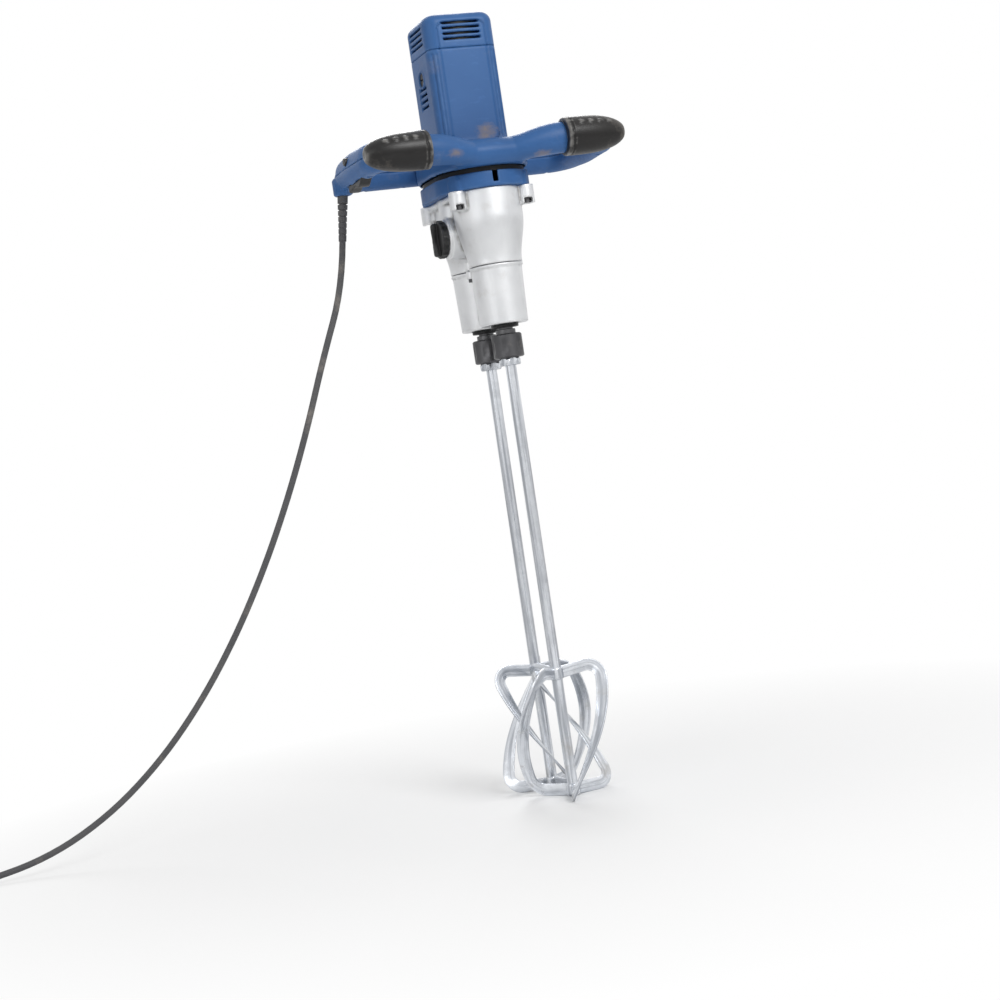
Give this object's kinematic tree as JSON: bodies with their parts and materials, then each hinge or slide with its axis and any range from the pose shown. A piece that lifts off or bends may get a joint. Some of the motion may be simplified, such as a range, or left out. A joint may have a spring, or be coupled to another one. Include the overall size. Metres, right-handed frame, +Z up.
{
  "type": "mixing drill",
  "caption": "Hand-held electric mixing drill: motor tower, cast gear case, loop handles with rubber corners, counter-turning helical paddles on long rods, mains lead with plug.",
  "frame": {"origin": "on the upright axis midway between the spindles, at the level of the hand grips", "axes": "+Z up along the rods towards the motor, +X from the trigger handle to the plain handle, -Y to the front crossbar"},
  "size_m": [1.117, 0.4525, 1.036],
  "materials": {
    "blue_shell": "moulded nylon, lightly dusty",
    "black_rubber": "soft moulded rubber",
    "black_plastic": "black moulded",
    "cord_jacket": "rubber sheathed lead",
    "cast_aluminium": "die cast, matt",
    "dark_steel": "blackened",
    "galvanised_steel": "zinc plated",
    "machined_steel": "ground",
    "lamination_steel": "stacked laminations",
    "copper_brass": "bright",
    "carbon": "carbon block",
    "inner_plastic": "plain"
  },
  "bodies": {
    "machine": {"armature_bearings": "machined_steel", "bearing_plate": "black_plastic", "brush_caps": "black_plastic", "brush_holders": "copper_brass", "carbon_brushes": "carbon", "case_screws": "dark_steel", "coil_tie": "black_plastic", "cord_coil": "cord_jacket", "cord_stretch": "cord_jacket", "countershaft_bearings": "machined_steel", "gear_case_lower": "cast_aluminium", "gear_case_upper": "cast_aluminium", "left_bumper": "black_rubber", "left_handle_lower": "blue_shell", "left_handle_upper": "blue_shell", "motor_cap": "blue_shell", "motor_housing": "blue_shell", "plug_body": "black_plastic", "plug_pins": "copper_brass", "right_bumper": "black_rubber", "right_handle_lower": "blue_shell", "right_handle_upper": "blue_shell", "shaft_seals": "inner_plastic", "skirt_ring": "blue_shell", "spindle_bearings": "machined_steel", "stator_coils": "copper_brass", "stator_core": "lamination_steel", "stator_rings": "inner_plastic", "strain_relief": "black_plastic", "switch_module": "black_plastic", "trigger_pin": "machined_steel"},
    "front_output": {"front_spindle": "machined_steel", "front_gear": "machined_steel", "front_lock_nut": "galvanised_steel", "front_paddle_rod": "galvanised_steel", "front_paddle_blades": "galvanised_steel"},
    "rear_output": {"rear_spindle": "machined_steel", "rear_gear": "machined_steel", "rear_lock_nut": "galvanised_steel", "rear_paddle_rod": "galvanised_steel", "rear_paddle_blades": "galvanised_steel"},
    "front_sleeve": {"front_coupling": "dark_steel"},
    "rear_sleeve": {"rear_coupling": "dark_steel"},
    "counter": {"countershaft": "machined_steel", "countershaft_gear": "machined_steel", "countershaft_pinion": "machined_steel"},
    "armature": {"armature_shaft": "machined_steel", "armature_core": "lamination_steel", "commutator": "copper_brass", "cooling_fan": "inner_plastic", "motor_pinion": "machined_steel"},
    "selector": {"selector_knob": "black_plastic", "selector_shaft": "dark_steel"},
    "trigger_lever": {"trigger": "black_plastic"},
    "lock": {"lock_button": "black_plastic"}
  },
  "joints": [
    {"name": "front_spin", "type": "hinge", "parent": "machine", "child": "front_output", "pos_m": [0, -0.039, 0], "axis": [0, 0, 1], "continuous": true},
    {"name": "rear_spin", "type": "hinge", "parent": "machine", "child": "rear_output", "pos_m": [0, 0.039, 0], "axis": [0, 0, 1], "continuous": true},
    {"name": "counter_spin", "type": "hinge", "parent": "machine", "child": "counter", "pos_m": [-0.03184, 0.00356, 0], "axis": [0, 0, 1], "continuous": true},
    {"name": "motor_spin", "type": "hinge", "parent": "machine", "child": "armature", "pos_m": [0, 0.008, 0], "axis": [0, 0, 1], "continuous": true},
    {"name": "front_release", "type": "slide", "parent": "front_output", "child": "front_sleeve", "axis": [0, 0, 1], "range_m": [0, 0.008], "stiffness_N_per_m": 600, "springref_m": -0.002},
    {"name": "rear_release", "type": "slide", "parent": "rear_output", "child": "rear_sleeve", "axis": [0, 0, 1], "range_m": [0, 0.008], "stiffness_N_per_m": 600, "springref_m": -0.002},
    {"name": "speed_select", "type": "hinge", "parent": "machine", "child": "selector", "pos_m": [-0.052, 0, -0.102], "axis": [1, 0, 0], "range_deg": [0, 180]},
    {"name": "trigger_pull", "type": "hinge", "parent": "machine", "child": "trigger_lever", "pos_m": [-0.158, -0.044, -0.013], "axis": [1, 0, 0], "range_deg": [0, 6], "stiffness_Nm_per_rad": 2, "springref_deg": -2.86},
    {"name": "lock_press", "type": "slide", "parent": "machine", "child": "lock", "axis": [1, 0, 0], "range_m": [0, 0.003], "stiffness_N_per_m": 300, "springref_m": -0.001}
  ],
  "couplings": [
    {"joint": "rear_spin", "follows": "front_spin", "ratio": -1},
    {"joint": "counter_spin", "follows": "front_spin", "ratio": -2.7857},
    {"joint": "motor_spin", "follows": "front_spin", "ratio": 12.071}
  ]
}
